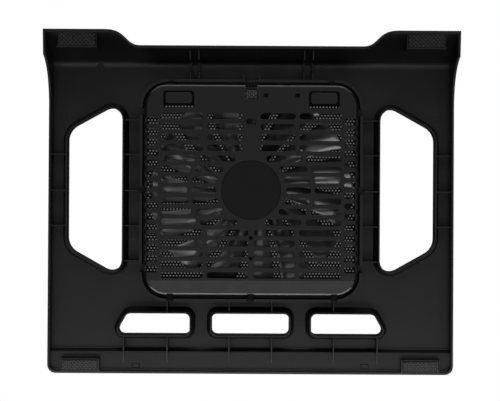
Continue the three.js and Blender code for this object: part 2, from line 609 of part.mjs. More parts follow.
const rotorYoke = () => turned([
  [SHAFT.radius + FIT_GAP, -YOKE.top - YOKE.wall], [YOKE.outer - YOKE.wall, -YOKE.top - YOKE.wall],
  [YOKE.outer - YOKE.wall, -YOKE.bottom], [YOKE.outer, -YOKE.bottom], [YOKE.outer, -YOKE.top],
  [SHAFT.radius + FIT_GAP, -YOKE.top], [SHAFT.radius + FIT_GAP, -YOKE.top - YOKE.wall],
], 0, FAN.y, 36);

const magnetRing = () => ring(0, FAN.y, MAGNET.inner, MAGNET.outer, -MAGNET.bottom, -MAGNET.top, 36);
const shaft = () => cylinder(0, FAN.y, SHAFT.radius, -SHAFT.bottom, -SHAFT.top, 16);
const bearingSleeve = () =>
  ring(0, FAN.y, SHAFT.radius + FIT_GAP, SEAT.bore - FIT_GAP, -SLEEVE.bottom, -SLEEVE.top, 24);
const retainingClip = () => ring(0, FAN.y, SHAFT.radius + FIT_GAP, CLIP.outer, -CLIP.bottom, -CLIP.top, 16);
const thrustWasher = () =>
  cylinder(0, FAN.y, SEAT.bore - FIT_GAP, -SEAT.boreFloor + FIT_GAP, -WASHER_TOP, 20);
const hubDisc = () =>
  cylinder(0, FAN.y, HUB_DISC.radius, -COVER.face, -COVER.face + HUB_DISC.thickness, 48);

// Four poles with wide tips round a hollow body.
function statorCore() {
  const [low, high] = [-STATOR.bottom, -STATOR.top];
  const arm = STATOR.arm / 2;
  const rim = ring(0, FAN.y, STATOR.tip, STATOR.outer, low, high, 36);
  const gaps = [0, 1, 2, 3].map((quarter) => {
    const gap = new THREE.BoxGeometry(60, STATOR.outer * 2 - STATOR.tipHalf * 2, 60).translate(45, 0, 0);
    return solid(gap.rotateZ(Math.PI / 4 + (quarter * Math.PI) / 2).translate(0, FAN.y, 0));
  });
  return cut(
    join(
      cut(rim, ...gaps), cylinder(0, FAN.y, STATOR.body, low, high),
      block(-STATOR.tip - 1, STATOR.tip + 1, FAN.y - arm, FAN.y + arm, low, high),
      block(-arm, arm, FAN.y - STATOR.tip - 1, FAN.y + STATOR.tip + 1, low, high),
    ),
    cylinder(0, FAN.y, STATOR.bore, low - 5, high + 5),
  );
}

// A winding round one pole.
function coil(quarter) {
  const hole = rectangle(
    -STATOR.arm / 2 - FIT_GAP, STATOR.arm / 2 + FIT_GAP, -STATOR.bottom - FIT_GAP, -STATOR.top + FIT_GAP);
  const outside = rectangle(-COIL.halfWidth, COIL.halfWidth, -COIL.bottom, -COIL.top, 1.4);
  const winding = cut(
    alongY(outline(outside), COIL.inner, COIL.outer),
    alongY(outline(hole), COIL.inner - 5, COIL.outer + 5),
  );
  return winding.rotate([0, 0, 90 * quarter]).translate([0, FAN.y, 0]);
}

const motorBoard = () => ring(0, FAN.y, SEAT.tube + FIT_GAP, BOARD.outer, -BOARD.bottom, -BOARD.top);

// ---- Power inlet on the cover ----
const socketBoard = () => block(
  SOCKET.x - SOCKET_BOARD.half, SOCKET.x + SOCKET_BOARD.half,
  SOCKET_BOARD.front, COVER.rear - COVER.wall - 0.4,
  -SOCKET.bottom - FIT_GAP - SOCKET_BOARD.thickness, -SOCKET.bottom - FIT_GAP,
);

// A small upright housing with a flat mouth towards the rear and a contact tongue inside it.
function powerSocket() {
  const { x, front, rear } = SOCKET;
  const { z, half, wall } = SOCKET_MOUTH;
  const housing = rectangle(x - SOCKET.width / 2, x + SOCKET.width / 2, -SOCKET.bottom, -SOCKET.top, 0.8);
  const mouth = rectangle(x - SOCKET_MOUTH.width / 2, x + SOCKET_MOUTH.width / 2, z - half, z + half, 0.6);
  return join(
    cut(alongY(outline(housing), front, rear), alongY(outline(mouth), front + wall, rear + 2)),
    block(x - 2.2, x + 2.2, front + 1, rear - 0.8, z - 0.4, z + 0.4),
  );
}

// The lead from the motor's board along the wide strut to the socket's board.
function fanLead() {
  const z = -COVER.face + COVER.wall + FIT_GAP + LEAD_RADIUS;
  const stations = [[0, 15], [0, 36], [-1, 62], [-7, 73], [-18, 77.5], [-27.5, 79.5], [SOCKET.x, 82.6]];
  const route = new THREE.CatmullRomCurve3(stations.map(([x, y]) => new THREE.Vector3(x, FAN.y + y, z)));
  const section = new THREE.Shape(Array.from({ length: 8 }, (_, k) =>
    new THREE.Vector2(LEAD_RADIUS, 0).rotateAround(new THREE.Vector2(), (k * Math.PI) / 4)));
  return solid(new THREE.ExtrudeGeometry(section, { steps: 24, extrudePath: route, bevelEnabled: false }));
}

// ---- Laptop stops on the front ledge ----
function laptopStop(side) {
  const foot = -LEDGE.depth + FIT_GAP;
  const { front, rear, lipRear, height, tread } = STOP;
  const profile = outline([
    [front, foot], [rear, foot], [rear, foot + tread, 1.2], [lipRear + 0.8, foot + tread + 0.4, 2],
    [lipRear, height, 1.6], [front, height, 1.6],
  ]);
  const x = side * STOP.x;
  const plan = rectangle(x - STOP.halfLength, x + STOP.halfLength, front - 1.6, rear + 1.6, 4);
  return join(
    acrossX(profile, x - STOP.halfLength, x + STOP.halfLength).intersect(prism(outline(plan), -20, 20)),
    block(
      x - STOP_TAB.half, x + STOP_TAB.half, STOP_TAB.front, STOP_TAB.rear,
      -LEDGE.depth - LEDGE.thickness - 0.6, foot + 1,
    ),
  );
}

// ---- Feet ----
function rubberFoot({ length, width }) {
  return prism(outline(rectangle(-length / 2, length / 2, -width / 2, width / 2, 1.2)), 0, FOOT.thickness);
}

// ---- Assembly ----
const pad = new THREE.Group();
const level = new THREE.Group();
pad.add(plateFrame, level);

function add(group, name, made, material) {
  const mesh = new THREE.Mesh(geometryOf(made), material);
  mesh.name = name;
  group.add(mesh);
  return mesh;
}

const inPlate = (name, made, material) => add(plateFrame, name, made, material);
const SIDE_NAMES = { [-1]: "left", [1]: "right" };

inPlate("top_shell", topShell(), finishes.shell);
inPlate("mesh_panel", meshPanel(), finishes.paintedSteel);
inPlate("fan_cover", fanCover(), finishes.cover);
inPlate("cover_latch", coverLatch(), finishes.cover);
inPlate("hub_disc", hubDisc(), finishes.disc);
inPlate("impeller", impeller(), finishes.fan);
inPlate("rotor_yoke", rotorYoke(), finishes.steel);
inPlate("magnet_ring", magnetRing(), finishes.magnet);
inPlate("shaft", shaft(), finishes.steel);
inPlate("retaining_clip", retainingClip(), finishes.nylon);
inPlate("bearing_sleeve", bearingSleeve(), finishes.bronze);
inPlate("thrust_washer", thrustWasher(), finishes.nylon);
inPlate("stator_core", statorCore(), finishes.steel);
for (const quarter of [0, 1, 2, 3]) inPlate(`coil_${quarter + 1}`, coil(quarter), finishes.copper);
inPlate("motor_board", motorBoard(), finishes.board);
inPlate("socket_board", socketBoard(), finishes.board);
inPlate("power_socket", powerSocket(), finishes.steel);
inPlate("fan_lead", fanLead(), finishes.wire);

for (const side of [-1, 1]) {
  inPlate(`slide_latch_${SIDE_NAMES[side]}`, slideLatch(side), finishes.cover);
  inPlate(`laptop_stop_${SIDE_NAMES[side]}`, laptopStop(side), finishes.rubber);
  for (const [end, foot] of [["front", FRONT_FOOT], ["rear", REAR_FOOT]]) {
    const mesh = add(level, `foot_${end}_${SIDE_NAMES[side]}`, rubberFoot(foot), finishes.rubber);
    mesh.position.set(side * foot.x, levelY(foot.y, foot.depth), 0);
  }
}

// The origin is under the middle of the pad's overall box.
const middle = new THREE.Box3().setFromObject(pad, true).getCenter(new THREE.Vector3());
pad.position.set(-middle.x, -middle.y, 0);

export default pad;
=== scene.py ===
"""The laptop cooling pad's looks: studio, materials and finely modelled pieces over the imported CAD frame."""
import json
import math

import bmesh
import bpy
import numpy as np
from mathutils import Matrix, Vector
from mathutils.geometry import delaunay_2d_cdt


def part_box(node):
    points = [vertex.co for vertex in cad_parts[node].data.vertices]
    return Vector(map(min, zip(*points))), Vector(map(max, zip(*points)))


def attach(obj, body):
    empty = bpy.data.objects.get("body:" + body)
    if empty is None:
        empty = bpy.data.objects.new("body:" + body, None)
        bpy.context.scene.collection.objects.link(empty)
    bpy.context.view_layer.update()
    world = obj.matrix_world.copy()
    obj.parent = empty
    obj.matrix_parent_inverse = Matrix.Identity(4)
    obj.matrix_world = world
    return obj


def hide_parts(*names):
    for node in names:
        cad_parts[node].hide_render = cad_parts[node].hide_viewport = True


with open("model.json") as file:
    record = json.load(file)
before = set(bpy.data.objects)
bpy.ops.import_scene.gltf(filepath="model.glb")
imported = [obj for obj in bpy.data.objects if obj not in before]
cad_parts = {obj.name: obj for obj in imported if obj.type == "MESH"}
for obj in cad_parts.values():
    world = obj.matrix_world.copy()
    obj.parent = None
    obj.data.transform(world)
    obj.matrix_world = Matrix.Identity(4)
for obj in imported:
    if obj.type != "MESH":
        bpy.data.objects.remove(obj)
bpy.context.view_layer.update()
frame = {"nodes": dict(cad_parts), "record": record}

MM = 0.001

# ---- The plate's own frame: X across, Y from the front edge to the rear, Z = 0 on the plate's top ----
laptop_face = next(m for m in frame["record"]["mounts"] if m["name"] == "laptop_face")
LAPTOP_FACE_IN_PLATE = Vector((-155, 50, 0)) * MM
TILT = math.atan2(-laptop_face["axis"][1], laptop_face["axis"][2])
PLATE = (
    Matrix.Translation(Vector(laptop_face["pos_m"]))
    @ Matrix.Rotation(TILT, 4, "X")
    @ Matrix.Translation(-LAPTOP_FACE_IN_PLATE)
)

# ---- Dimensions in millimetres in the plate's frame, as in the part's source ----
PANEL = dict(half=112, front=69.5, rear=292, radius=25, low=-1.1, high=-0.1)
HOLES = dict(pitch=3.19, across=1.65, half=103.4, front=78.4, rear=283.4, radius=16, origin=(-1.4, 169.6))
HOLE_SEARCH = 60  # rows and columns looked through on each side of the field's origin

FAN_Y = 181.4
COVER = dict(half=103.9, front=78.2, rear=284, radius=21, face=-24, top=-12, wall=1.8)
CHAMFER = dict(front=-18, runs_to=92.9)  # the cover's sloping front
ROUNDING = dict(side=3.2, rear=2.2, front=2.0, least=0.3)  # radii of the edge round the cover's face
CORNER_STEPS = 14
PAINTED_EDGE_HIGHLIGHT = dict(front_reach=1.7, front_fade=0.3, rear_reach=1.4, rear_share=0.75, up=1.2)  # of that edge: where a highlight is painted on it
SLOTS = dict(rows=16, first=253.6, pitch=10.36, height=6.2, outer_end=88.2, lip=0.45)
SLOT_BARS = dict(straight_at=45.1, ring=60.3, ring_reach=41, hub=34.2, half=1.95)  # between a row's slots
STRUT = dict(rear_half=8.8, front_half=2.5)
EDGE_SLOTS = dict(rows=15, first=248.4, pitch=10.33, inner_end=90.9, outer_end=115, up=3.5)
SEAT = dict(radius=31, top=-20, tube=5, tube_top=-9, bore=3.9, bore_floor=-22, recess=29)
LEAD_CHANNEL = dict(half=1.3, front=12, rear=36, top=-18)
WINDOW = dict(low=56.1, high=86.2, front=261.2, rear=278.3, radius=3.5)
VENT = dict(half=4.8, front=245.6, rear=251.2)
SQUARE_HOLES = dict(x=(-14, -45), y=274, half_width=2.2, half_height=1.9, lip=0.25)
ROUND_HOLES = dict(y=(114.7, 134.7), radius=2)
HOLE_LIP = 0.4  # rounding of the edges of the windows and edge slots
SMALL_LIP = 0.3
PAINTED_SHADE_CAP = dict(low=-22.3, high=-21.4, half_width=3, half_height=2.8, radius=3)  # a dark cap behind each small hole, as painted shade
SOCKET_ROOM = dict(low=-36, high=-24, front=280, rear=290, floor=-20.8)
ROOMS_TOP = -10
TONGUES = dict(x=(-82, 0, 79), y=73.5, z=-17.5, half_width=3, half_thickness=1.2, softening=0.3, narrowed=0.8)

BLADES = dict(
    count=15, root=29, tip=100, high=4.6, low_root=10.5, low_tip=15.8, camber=1.8, half_thickness=0.82)
BLADE_GAP = dict(degrees=5, phase=10, sweep=0.155, sweep_from=70)  # sweep: degrees per mm of radius
HUB_DISC = dict(radius=28.7, thickness=0.8)

KNURL = dict(pitch=3.8, depth=0.8)
LATCH = dict(half=5.5, front=271, rear=279, face=-23.6, top=-21.6)
LATCH_ROOM = dict(half=6.1, front=270.4, rear=300)
BUTTON = dict(low=58, high=84, front=266, rear=276.8, face=-24.2, top=-20.9)
RUNNER = dict(low=54, high=88, front=264.6, rear=281.8, face=-21.1, top=-20.5)
BOLT = dict(x=78, half=2.6, front=273.2, rear=287.7, low=-19.5, high=-17.3, post_rear=279.6, post_top=-17.5)
BOLT_NOTCH = dict(half=3.4, front=280, rear=290)

# ---- Studio, in metres ----
CAMERA_DISTANCE = 1.2
CAMERA_FOOT_Y = 0.2151
CAMERA_SHIFT = (-0.00125, -0.04475)
CAMERA_ROLL = 0.32  # degrees
FRAME_WIDTH = 0.498  # what the picture spans at that distance
SENSOR = 36  # millimetres
FLOOR_HALF = 6
CARD_HEIGHT = 1.2 * MM


def make_camera():
    data = bpy.data.cameras.new("camera")
    data.sensor_width = SENSOR
    data.lens = SENSOR * CAMERA_DISTANCE / FRAME_WIDTH
    data.shift_x = CAMERA_SHIFT[0] / FRAME_WIDTH
    data.shift_y = CAMERA_SHIFT[1] / FRAME_WIDTH
    data.clip_end = 20
    camera = bpy.data.objects.new("camera", data)
    bpy.context.scene.collection.objects.link(camera)
    facing_up = Matrix(((-1, 0, 0, 0), (0, 1, 0, 0), (0, 0, -1, 0), (0, 0, 0, 1)))
    roll = Matrix.Rotation(math.radians(CAMERA_ROLL), 4, "Z")
    camera.matrix_world = PLATE @ Matrix.Translation((0, CAMERA_FOOT_Y, -CAMERA_DISTANCE)) @ facing_up @ roll
    bpy.context.scene.camera = camera


def softbox(name, location, target, size, radiance):
    """A rectangular light facing target; size is its width across the pad's X and its height."""
    data = bpy.data.lights.new(name, "AREA")
    data.shape = "RECTANGLE"
    data.size, data.size_y = size
    data.energy = radiance * math.pi * size[0] * size[1]
    light = bpy.data.objects.new(name, data)
    bpy.context.scene.collection.objects.link(light)
    back = (Vector(location) - Vector(target)).normalized()
    across = Vector((1, 0, 0)) if abs(back.x) < 0.9 else Vector((0, 1, 0))
    across = (across - back * across.dot(back)).normalized()
    turn = Matrix((across, back.cross(across), back)).transposed()
    light.matrix_world = Matrix.Translation(location) @ turn.to_4x4()
    light.visible_camera = False


def under_light(name, size, radiance, to_front=0, to_side=0, distance=1.6):
    """A softbox below the pad, turned by degrees from the plate's normal towards the front edge or a side."""
    middle = PLATE @ Vector((0, 0.17, -0.01))
    front, side = math.radians(to_front), math.radians(to_side)
    away = Vector((math.sin(side), -math.sin(front), -math.cos(front) * math.cos(side))).normalized()
    softbox(name, middle + PLATE.to_3x3() @ away * distance, middle, size, radiance)


def make_lights():
    under_light("under_front", (1.3, 1.1), 0.57, to_front=9, distance=1.7)
    under_light("under_low", (1.6, 0.2), 3.1, to_front=38)
    strip_at, strip_faces = Vector((0, -0.147, -0.211)), Vector((0, 0.085, -0.021))
    softbox("under_strip", PLATE @ strip_at, PLATE @ strip_faces, (0.7, 0.15), 1.4)
    under_light("under_high", (1.5, 0.5), 3.6, to_front=-50)
    under_light("under_left", (0.8, 1.4), 0.7, to_side=-50)
    under_light("under_right", (0.8, 1.4), 0.5, to_side=50)
    middle = (0, 0, 0)
    softbox("top_left", (-1.5, 1.2, 1.5), middle, (1.4, 1.0), 2.8)
    softbox("top_right", (1.5, 1.2, 1.5), middle, (1.4, 1.0), 2.8)
    softbox("top_rear", (0, 2.0, 1.1), middle, (1.8, 0.6), 2)
    softbox("top_front", (0, -1.9, 1.0), middle, (2.4, 0.7), 1.2)
    softbox("side_left", (-2.2, -0.4, 0.55), middle, (1.6, 0.7), 1.6)
    softbox("side_right", (2.2, -0.4, 0.55), middle, (1.6, 0.7), 1.6)


def make_world():
    """White where the camera looks past the object, and dim as a light on it."""
    world = bpy.data.worlds.new("studio")
    world.use_nodes = True
    bpy.context.scene.world = world
    nodes, links = world.node_tree.nodes, world.node_tree.links
    background = nodes["Background"]
    rays = nodes.new("ShaderNodeLightPath")
    strength = nodes.new("ShaderNodeMapRange")
    links.new(rays.outputs["Is Camera Ray"], strength.inputs["Value"])
    strength.inputs["To Min"].default_value = 0.002
    strength.inputs["To Max"].default_value = 1.0
    links.new(strength.outputs["Result"], background.inputs["Strength"])
    background.inputs["Color"].default_value = (1, 1, 1, 1)


def one_sided(name, grey, roughness, glow):
    """A plain surface that is only there from its front side."""
    material = bpy.data.materials.new(name)
    material.use_nodes = True
    nodes, links = material.node_tree.nodes, material.node_tree.links
    surface = nodes["Principled BSDF"]
    surface.inputs["Base Color"].default_value = (grey, grey, grey + 0.01, 1)
    surface.inputs["Roughness"].default_value = roughness
    surface.inputs["Emission Color"].default_value = (1, 1, 1, 1)
    surface.inputs["Emission Strength"].default_value = glow
    side = nodes.new("ShaderNodeNewGeometry")
    clear = nodes.new("ShaderNodeBsdfTransparent")
    mix = nodes.new("ShaderNodeMixShader")
    links.new(side.outputs["Backfacing"], mix.inputs["Fac"])
    links.new(surface.outputs["BSDF"], mix.inputs[1])
    links.new(clear.outputs["BSDF"], mix.inputs[2])
    links.new(mix.outputs["Shader"], nodes["Material Output"].inputs["Surface"])
    return material


def stage_sheet(name, corners, material, place):
    """A flat sheet of the studio that throws no shadow and no light on the object."""
    mesh = bpy.data.meshes.new(name)
    mesh.from_pydata(corners, [], [(0, 1, 2, 3)])
    mesh.materials.append(material)
    sheet = bpy.data.objects.new(name, mesh)
    sheet.matrix_world = place
    bpy.context.scene.collection.objects.link(sheet)
    sheet.visible_shadow = False
    sheet.visible_diffuse = False
    sheet.visible_glossy = False


def make_floor():
    """A pale floor under the feet that is only seen from above, so the underside can be seen through it."""
    half = FLOOR_HALF
    corners = [(-half, -half, 0), (half, -half, 0), (half, half, 0), (-half, half, 0)]
    stage_sheet("floor", corners, one_sided("floor", 0.85, 0.7, glow=0.38), Matrix.Identity(4))


def make_card():
    """A pale card on the plate over the fan, like the table that a pad is laid on to look at its underside.
    It is only there from below, where it keeps the far side of the mesh panel's holes in shade."""
    half, front, rear = (PANEL[key] * MM for key in ("half", "front", "rear"))
    z = CARD_HEIGHT
    corners = [(-half, front, z), (-half, rear, z), (half, rear, z), (half, front, z)]
    stage_sheet("card", corners, one_sided("card", 0.8, 0.8, glow=0.09), PLATE)


# ---- Materials ----
SHADE_SCALE = 45  # slow changes of shade and gloss, per metre
RIPPLE_SCALE = 240
RIPPLE_SHARE = 0.6
BUMP_HEIGHT = 0.00008
COAT_ROUGHNESS = 0.16
LEAST_ROUGHNESS = 0.05


def add_grain(material, where, strength, grain_mm):
    """A fine moulded grain over a slower ripple, as bump."""
    nodes, links = material.node_tree.nodes, material.node_tree.links
    fine = nodes.new("ShaderNodeTexVoronoi")
    fine.inputs["Scale"].default_value = 1000 / grain_mm
    links.new(where.outputs["Object"], fine.inputs["Vector"])
    ripple = nodes.new("ShaderNodeTexNoise")
    ripple.inputs["Scale"].default_value = RIPPLE_SCALE
    ripple.inputs["Detail"].default_value = 3
    links.new(where.outputs["Object"], ripple.inputs["Vector"])
    height = nodes.new("ShaderNodeMath")
    height.operation = "MULTIPLY_ADD"
    links.new(ripple.outputs["Fac"], height.inputs[0])
    height.inputs[1].default_value = RIPPLE_SHARE
    links.new(fine.outputs["Distance"], height.inputs[2])
    bump = nodes.new("ShaderNodeBump")
    bump.inputs["Strength"].default_value = strength
    bump.inputs["Distance"].default_value = BUMP_HEIGHT
    links.new(height.outputs["Value"], bump.inputs["Height"])
    links.new(bump.outputs["Normal"], nodes["Principled BSDF"].inputs["Normal"])


def node_material(name, color, roughness, metallic=0.0, grain=0.15, grain_mm=0.35, mottle=0.25,
                  specular=0.5, wear_and_light_level=0.0, coat=0.0, patchy=0.07):
    """A moulded or metal finish: a fine grain in the surface, with slow changes of shade and gloss over it.
    Where the mesh carries its mask attribute, the base colour goes towards a lighter grey: real wear on
    knurled studs, with the grooves left darker as painted shade, and a painted highlight on the cover's
    rounded edges."""
    material = bpy.data.materials.new(name)
    material.use_nodes = True
    nodes, links = material.node_tree.nodes, material.node_tree.links
    surface = nodes["Principled BSDF"]
    surface.inputs["Metallic"].default_value = metallic
    surface.inputs["Specular IOR Level"].default_value = specular
    surface.inputs["Coat Weight"].default_value = coat
    surface.inputs["Coat Roughness"].default_value = COAT_ROUGHNESS
    where = nodes.new("ShaderNodeTexCoord")

    slow = nodes.new("ShaderNodeTexNoise")
    slow.inputs["Scale"].default_value = SHADE_SCALE
    slow.inputs["Detail"].default_value = 6
    links.new(where.outputs["Object"], slow.inputs["Vector"])
    shade = nodes.new("ShaderNodeMix")
    shade.data_type = "RGBA"
    shade.inputs["A"].default_value = (*[c * (1 - mottle) for c in color], 1)
    shade.inputs["B"].default_value = (*[min(1, c * (1 + mottle)) for c in color], 1)
    links.new(slow.outputs["Fac"], shade.inputs["Factor"])
    links.new(shade.outputs["Result"], surface.inputs["Base Color"])

    gloss = nodes.new("ShaderNodeMapRange")
    gloss.inputs["From Min"].default_value = 0.3
    gloss.inputs["From Max"].default_value = 0.7
    gloss.inputs["To Min"].default_value = max(LEAST_ROUGHNESS, roughness - patchy)
    gloss.inputs["To Max"].default_value = min(1, roughness + patchy)
    links.new(slow.outputs["Fac"], gloss.inputs["Value"])
    links.new(gloss.outputs["Result"], surface.inputs["Roughness"])

    # Painted highlight and painted shade, with real wear: the base colour goes to a lighter grey by the mesh's
    # mask.
    if wear_and_light_level:
        wear_and_light = nodes.new("ShaderNodeAttribute")
        wear_and_light.attribute_name = "wear_and_light"
        wear_and_light_mix = nodes.new("ShaderNodeMix")
        wear_and_light_mix.data_type = "RGBA"
        wear_and_light_mix.inputs["B"].default_value = (wear_and_light_level, wear_and_light_level, wear_and_light_level, 1)
        links.new(wear_and_light.outputs["Fac"], wear_and_light_mix.inputs["Factor"])
        links.new(shade.outputs["Result"], wear_and_light_mix.inputs["A"])
        links.new(wear_and_light_mix.outputs["Result"], surface.inputs["Base Color"])
    add_grain(material, where, grain, grain_mm)
    return material


BLACK = (0.0015, 0.0015, 0.0016)
MATERIALS = {
    "shell": node_material("shell_plastic", BLACK, 0.46, grain=0.25, patchy=0.045),
    # The cover's grey of 0.34 is a painted highlight on its rounded front and rear edges.
    "cover": node_material("cover_plastic", BLACK, 0.47, grain=0.25, patchy=0.045, wear_and_light_level=0.34),
    "panel": node_material("painted_mesh", (0.001, 0.001, 0.001), 0.4, grain_mm=0.5, specular=0.1),
    "fan": node_material(
        "fan_plastic", (0.004, 0.004, 0.0042), 0.36, grain=0.05, mottle=0.15, specular=1.0, coat=1.0),
    # A darker, less glossy copy of the black plastic: painted shade on the hinge tongues, the caps behind the
    # small holes and the slide runners.
    "inner": node_material("shade_painted_plastic", (0.001, 0.001, 0.001), 0.5, specular=0.12),
    "disc": node_material("hub_film", (0.002, 0.002, 0.0022), 0.2, grain=0.04, mottle=0.1, specular=0.22),
    # On the knurled rubber the studs go lighter from wear, and the grooves stay darker as painted shade.
    "rubber": node_material("rubber", (0.004, 0.004, 0.0042), 0.5, grain=0.2, grain_mm=0.25, wear_and_light_level=0.065),
    # A darker, less glossy copy of the rubber for the rear feet, with its studs lightened less.
    "rear_rubber": node_material(
        "rubber_darker_rear", (0.002, 0.002, 0.0021), 0.5, grain=0.2, grain_mm=0.25, specular=0.25, wear_and_light_level=0.03),
    # The thumb pad's knurl too: studs lighter from wear, grooves darker as painted shade.
    "thumb": node_material("thumb_pad", (0.003, 0.003, 0.0032), 0.42, wear_and_light_level=0.05),
    "steel": node_material("plated_steel", (0.55, 0.56, 0.57), 0.32, metallic=1, grain=0.05),
    "magnet": node_material("magnet", (0.045, 0.045, 0.048), 0.7, grain=0.3),
    "bronze": node_material("bronze", (0.38, 0.22, 0.1), 0.45, metallic=1, grain=0.2),
    "nylon": node_material("nylon", (0.6, 0.58, 0.52), 0.5, grain=0.1),
    "copper": node_material("copper", (0.55, 0.2, 0.08), 0.3, metallic=1, grain=0.5, grain_mm=0.3),
    "board": node_material("circuit_board", (0.02, 0.085, 0.035), 0.4, grain=0.1, mottle=0.4),
    "wire": node_material("wire", (0.02, 0.02, 0.021), 0.45, grain=0.05),
}


# ---- Outlines and levels, in millimetres in the plate's frame ----
def rounded_rectangle(x_low, x_high, y_low, y_high, radius, steps=10):
    """Points and outward normals, anticlockwise from above."""
    points, normals = [], []
    corners = [(x_high, y_low, -90), (x_high, y_high, 0), (x_low, y_high, 90), (x_low, y_low, 180)]
    for x, y, start in corners:
        centre_x = x - math.copysign(radius, x - (x_low + x_high) / 2)
        centre_y = y - math.copysign(radius, y - (y_low + y_high) / 2)
        for k in range(steps + 1):
            angle = math.radians(start + 90 * k / steps)
            normal = (math.cos(angle), math.sin(angle))
            points.append((centre_x + radius * normal[0], centre_y + radius * normal[1]))
            normals.append(normal)
    return points, normals


def circle(x, y, radius, steps=96):
    angles = [2 * math.pi * k / steps for k in range(steps)]
    normals = [(math.cos(a), math.sin(a)) for a in angles]
    return [(x + radius * n[0], y + radius * n[1]) for n in normals], normals


def stadium(x_low, x_high, y, height, steps=8):
    radius = height / 2
    points, normals = [], []
    for centre, start in ((x_high - radius, -90), (x_low + radius, 90)):
        for k in range(steps + 1):
            angle = math.radians(start + 180 * k / steps)
            normal = (math.cos(angle), math.sin(angle))
            points.append((centre + radius * normal[0], y + radius * normal[1]))
            normals.append(normal)
    return points, normals


def prism_rings(outline, levels):
    """Rings of an outline at levels of (height, growth along the outward normals)."""
    points, normals = outline
    return [
        [(p[0] + n[0] * grow, p[1] + n[1] * grow, z) for p, n in zip(points, normals)]
        for z, grow in levels
    ]


def softened(low, high, radius, steps=3, both=True):
    """Levels of a prism whose bottom edge, and top edge too, is rounded off."""
    turns = [math.pi / 2 * k / steps for k in range(steps + 1)]
    rise = [(radius - radius * math.cos(turn), radius * math.sin(turn) - radius) for turn in turns]
    bottom = [(low + h, g) for h, g in rise]
    top = [(high - h, g) for h, g in reversed(rise)] if both else [(high, 0)]
    return bottom + top


def flared_hole_levels(face, through, radius, steps=3):
    """Levels of a cutter that goes up through a wall and rounds the hole's edge on the wall's outer face."""
    levels = [(face - 1, radius)]
    for k in range(steps + 1):
        h = radius * k / steps
        levels.append((face + h, radius - math.sqrt(radius ** 2 - (radius - h) ** 2)))
    return levels + [(through, 0)]


# ---- Bodies ----
def from_faces(name, vertices, faces):
    mesh = bpy.data.meshes.new(name)
    mesh.from_pydata([tuple(c * MM for c in v) for v in vertices], [], faces)
    mesh.validate()
    obj = bpy.data.objects.new(name, mesh)
    bpy.context.scene.collection.objects.link(obj)
    return obj


def loft_data(rings):
    """Vertices and faces of a closed body through rings of equal length, the first at the bottom."""
    count = len(rings[0])
    vertices = [v for ring in rings for v in ring]
    faces = [tuple(reversed(range(count)))]
    for r in range(len(rings) - 1):
        for k in range(count):
            a, b = r * count + k, r * count + (k + 1) % count
            faces.append((a, b, b + count, a + count))
    faces.append(tuple(range((len(rings) - 1) * count, len(rings) * count)))
    return vertices, faces


def loft(name, rings):
    return from_faces(name, *loft_data(rings))


def shaped(name, outline, levels):
    return loft(name, prism_rings(outline, levels))


def prism(name, outline, low, high):
    return shaped(name, outline, [(low, 0), (high, 0)])


def turned(name, profile, x, y, steps):
    """A turned body from a profile of (radius, height) that starts and ends on the axis."""
    inner = profile[1:-1]
    vertices = [(x, y, profile[0][1]), (x, y, profile[-1][1])]
    for k in range(steps):
        a = 2 * math.pi * k / steps
        vertices += [(x + r * math.cos(a), y + r * math.sin(a), z) for r, z in inner]
    count = len(inner)
    faces = []
    for k in range(steps):
        here, there = 2 + k * count, 2 + (k + 1) % steps * count
        faces.append((0, there, here))
        faces += [(here + j, there + j, there + j + 1, here + j + 1) for j in range(count - 1)]
        faces.append((1, here + count - 1, there + count - 1))
    return from_faces(name, vertices, faces)


def joined(name, objects):
    """The objects' meshes in one new mesh object."""
    whole = bmesh.new()
    for o in objects:
        piece = o.data.copy()
        piece.transform(o.matrix_world)
        whole.from_mesh(piece)
        bpy.data.meshes.remove(piece)
        bpy.data.objects.remove(o)
    mesh = bpy.data.meshes.new(name)
    whole.to_mesh(mesh)
    whole.free()
    obj = bpy.data.objects.new(name, mesh)
    bpy.context.scene.collection.objects.link(obj)
    return obj


def combine(obj, tool, operation):
    """obj joined with tool, cut by it, or kept only within it."""
    modifier = obj.modifiers.new("combine", "BOOLEAN")
    modifier.operation = operation
    modifier.solver = "MANIFOLD"
    modifier.object = tool
    bpy.context.view_layer.update()
    evaluated = obj.evaluated_get(bpy.context.evaluated_depsgraph_get())
    mesh = bpy.data.meshes.new_from_object(evaluated)
    obj.modifiers.clear()
    obj.data = mesh
    bpy.data.objects.remove(tool)
    return obj


def cut(obj, *tools):
    for tool in tools:
        combine(obj, tool, "DIFFERENCE")
    return obj


def join(obj, *tools):
    for tool in tools:
        combine(obj, tool, "UNION")
    return obj


def recalculate(obj):
    shape = bmesh.new()
    shape.from_mesh(obj.data)
    bmesh.ops.recalc_face_normals(shape, faces=shape.faces)
    shape.to_mesh(obj.data)
    shape.free()


def smooth(obj, degrees=35):
    for polygon in obj.data.polygons:
        polygon.use_smooth = True
    obj.data.set_sharp_from_angle(angle=math.radians(degrees))
    weighted = obj.modifiers.new("weighted", "WEIGHTED_NORMAL")
    weighted.keep_sharp = True
    return obj


def set_wear_and_light(obj, values):
    obj.data.attributes.new("wear_and_light", "FLOAT", "POINT").data.foreach_set("value", values)


def fit(obj, body, material, replaces=(), place=PLATE):
    """Puts a piece drawn in the plate's frame in its place on a body, with its finish."""
    obj.matrix_world = place
    obj.data.materials.clear()
    obj.data.materials.append(MATERIALS[material])
    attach(obj, body)
    if replaces:
        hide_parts(*replaces)


